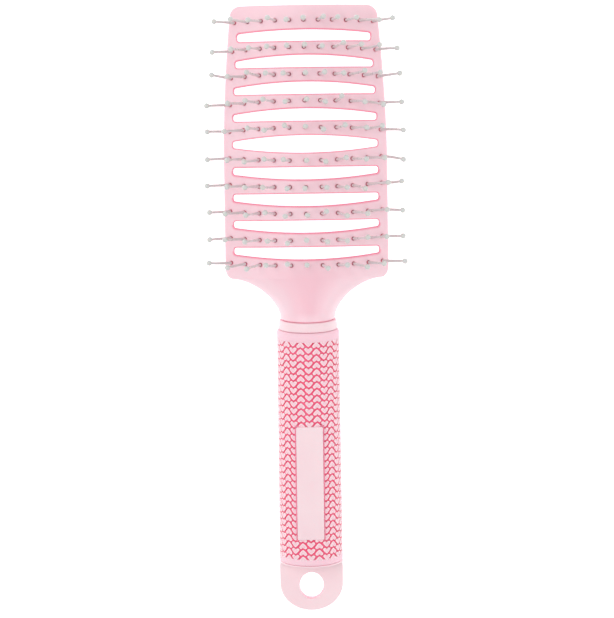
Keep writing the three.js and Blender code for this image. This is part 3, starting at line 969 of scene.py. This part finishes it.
def badge_plate():
    """A blank plate with rounded corners and a soft top edge."""
    corner, steps, underside = 0.6, 5, 10.3

    def ring(inset, drop):
        w, l = PLATE_WIDTH / 2 - inset - corner, PLATE_LENGTH / 2 - inset - corner
        out = []
        for cx, cy, first in ((w, -l, -90), (w, l, 0), (-w, l, 90), (-w, -l, 180)):
            for k in range(steps + 1):
                a = math.radians(first + 90 * k / steps)
                x, y = cx + corner * math.cos(a), PLATE_MIDDLE + cy + corner * math.sin(a)
                out.append((x, y, PLATE_TOP - drop))
        return out

    shape = Shape()
    levels = [(0, PLATE_TOP - underside), (0, 0.3), (0.06, 0.13), (0.16, 0.04), (0.34, 0), (0.9, 0)]
    shape.loft([ring(inset, drop) for inset, drop in levels])
    obj = outward(shape.object("badge_plate_fine"))
    drop = PLATE_TOP - coordinates(obj)[:, 2]
    # Painted shade, deeper pink, down the plate's sides.
    set_attribute(obj, "seam", ramp_up(drop, 0.16, 0.26))
    return finish_piece(obj, HANDLE_PLACE, TRIM, "trim", "badge_plate")


def window_frame():
    """The thin rubber lip round the badge plate."""
    low, high, inner, outer, bevel, pinkness = 10.6, 12.05, 0.06, 0.5, 0.12, 0.75
    profile = [(inner, low), (outer, low), (outer, high - bevel), (outer - bevel, high), (inner, high)]
    w, l = PLATE_WIDTH / 2, PLATE_LENGTH / 2
    sections = []
    for sx, sy in ((1, -1), (1, 1), (-1, 1), (-1, -1)):
        sections.append([(sx * (w + off), PLATE_MIDDLE + sy * (l + off), z) for off, z in profile])
    obj = outward(closed_loop(sections).object("window_lip"))
    set_attribute(obj, "groove", [pinkness] * len(obj.data.vertices))
    return finish_piece(obj, HANDLE_PLACE, RUBBER, "grip", "grip_sleeve")


def collar():
    """The ring between grip and neck, a little narrower towards the neck."""
    start, end, r = SLEEVE_END + JOINT_GAP, NECK_START - JOINT_GAP, COLLAR_RADIUS
    profile = [(CORE_BORE, start), (r - 0.55, start), (r - 0.2, start + 0.1), (r - 0.03, start + 0.35)]
    profile += [(r, start + 0.8), (r - 0.13, lerp(start, end, 0.55)), (r - 0.3, end - 0.6)]
    profile += [(r - 0.45, end - 0.25), (r - 0.8, end), (CORE_BORE, end)]
    obj = outward(revolve(profile).object("collar_ring"))
    y = coordinates(obj)[:, 1]
    # Painted shade, deeper pink, at the collar's ends where it meets its neighbours.
    set_attribute(obj, "seam", ramp_down(np.minimum(y - start, end - y), 0.05, 0.25))
    return finish_piece(obj, HANDLE_PLACE, TRIM, "trim", "neck_collar")


def scoop_cutters():
    """What is cut from above and below the flat tab, up to the round disc."""
    top, before, beside = TAB_RADIUS + 2, -2.0, 25
    corner, end = (TAB_SHOULDER, TAB_HALF), (TAB_SHOULDER, TAB_HALF + SHOULDER_FILLET)
    points = [(before, TAB_HALF), (TAB_SHOULDER - SHOULDER_FILLET, TAB_HALF)]
    points += bezier(points[-1], corner, end, 8)
    points += [(TAB_SHOULDER, top), (before, top)]
    shape = Shape()
    for side in (1, -1):
        shape.loft([[(x, y, side * z) for y, z in points] for x in (-beside, beside)])
    return outward(shape.object("scoops"))


def hole_cutter():
    turns = [2 * math.pi * k / HOLE_SIDES for k in range(HOLE_SIDES)]
    flat = [(HOLE_HALF[0] * math.cos(a), HOLE_CENTRE + HOLE_HALF[1] * math.sin(a)) for a in turns]
    shape = Shape()
    shape.loft([[(x, y, z) for x, y in flat] for z in (-16, 16)])
    return outward(shape.object("hole"))


def end_cap():
    """The cap with its flat tab and hanging hole, and the plug inside the core."""
    bevel, steps = 0.4, 32
    profile = [(0.0, 0.0)]
    for i in range(1, steps + 1):
        a = i / steps * math.pi / 2
        profile.append((TAB_RADIUS * math.sin(a), TAB_TIP * (1 - math.cos(a))))
    profile += [(TAB_RADIUS, CAP_LENGTH - bevel), (TAB_RADIUS - bevel, CAP_LENGTH)]
    profile += [(SPIGOT_RADIUS, CAP_LENGTH), (SPIGOT_RADIUS, CAP_LENGTH + PLUG_LENGTH)]
    profile += [(0.0, CAP_LENGTH + PLUG_LENGTH)]
    obj = outward(revolve(profile).object("end_cap_fine"))
    cut(obj, scoop_cutters(), hole_cutter())
    soften(obj, CAP_VOXEL, 4)
    x, y, z = coordinates(obj).T
    around = np.hypot(x / HOLE_HALF[0], (y - HOLE_CENTRE) / HOLE_HALF[1])
    # Painted shade, deeper pink, down the hole's wall and at the joint with the sleeve.
    hole_wall = (around < 1.12) * ramp_down(np.abs(z), TAB_HALF - 0.45, TAB_HALF - 0.15)
    joint = 0.6 * ramp_up(y, CAP_LENGTH - 0.3, CAP_LENGTH - 0.1)
    set_attribute(obj, "seam", np.maximum(hole_wall, joint))
    return finish_piece(obj, HANDLE_PLACE, TRIM, "trim", "end_cap")


head()
for number in range(VENT_COUNT + 1):
    pin_row(number)
sleeve_base()
hearts()
badge_plate()
window_frame()
collar()
end_cap()
# The core is hidden, so it is the CAD model's own mesh.
for material_slot in bpy.data.objects["handle_core"].material_slots:
    material_slot.material = CORE

# ---- Studio --------------------------------------------------------------------------------------

scene = bpy.context.scene
scene.view_settings.view_transform = "Standard"


def floor():
    """A white floor that gives off a little light, so that the picture's background stays white."""
    m = Nodes("studio_white")
    tone = m.cloud(m.noise(3, 2.0), (0.90, 0.90, 0.90), (0.93, 0.93, 0.93))
    m.link(tone, m.shader.inputs["Base Color"])
    m.set(Roughness=0.9, Emission_Color=(1, 1, 1, 1), Emission_Strength=0.6)
    half, z = 3.0, -0.0004
    verts = [(sx * half, sy * half, z) for sx, sy in ((-1, -1), (1, -1), (1, 1), (-1, 1))]
    obj = new_object("studio_floor", verts, [(0, 1, 2, 3)])
    obj.data.materials.append(m.material)


def area_light(name, place, target, size, power):
    light = bpy.data.lights.new(name, "AREA")
    light.shape = "SQUARE"
    light.size = size
    light.energy = power
    obj = bpy.data.objects.new(name, light)
    scene.collection.objects.link(obj)
    obj.location = place
    obj.rotation_euler = (Vector(target) - Vector(place)).to_track_quat("-Z", "Y").to_euler()


def world():
    scene.world = bpy.data.worlds.new("studio_world")
    scene.world.use_nodes = True
    background = scene.world.node_tree.nodes["Background"]
    background.inputs["Color"].default_value = (1, 1, 1, 1)
    background.inputs["Strength"].default_value = 0.66


def camera():
    """The photo's view: from above and a little from the head's end, rolled slightly."""
    tilt = math.radians(9.8)
    roll = math.radians(-0.85)
    distance = 1.2
    target = Vector((0.0, 0.0016, 0.014))
    eye = target + Vector((0, math.sin(tilt), math.cos(tilt))) * distance
    data = bpy.data.cameras.new("camera")
    data.sensor_width = 36
    data.lens = 172.0
    data.shift_x = -0.0011
    obj = bpy.data.objects.new("camera", data)
    scene.collection.objects.link(obj)
    look = Matrix.Rotation(-tilt, 4, "X") @ Matrix.Rotation(roll, 4, "Z")
    obj.matrix_world = Matrix.Translation(eye) @ look
    scene.camera = obj


floor()
world()
area_light("key", (-0.45, 0.32, 1.0), (0, 0, 0), 0.8, 4.2)
area_light("fill", (0.7, -0.3, 0.8), (0, 0, 0), 0.8, 2)
camera()
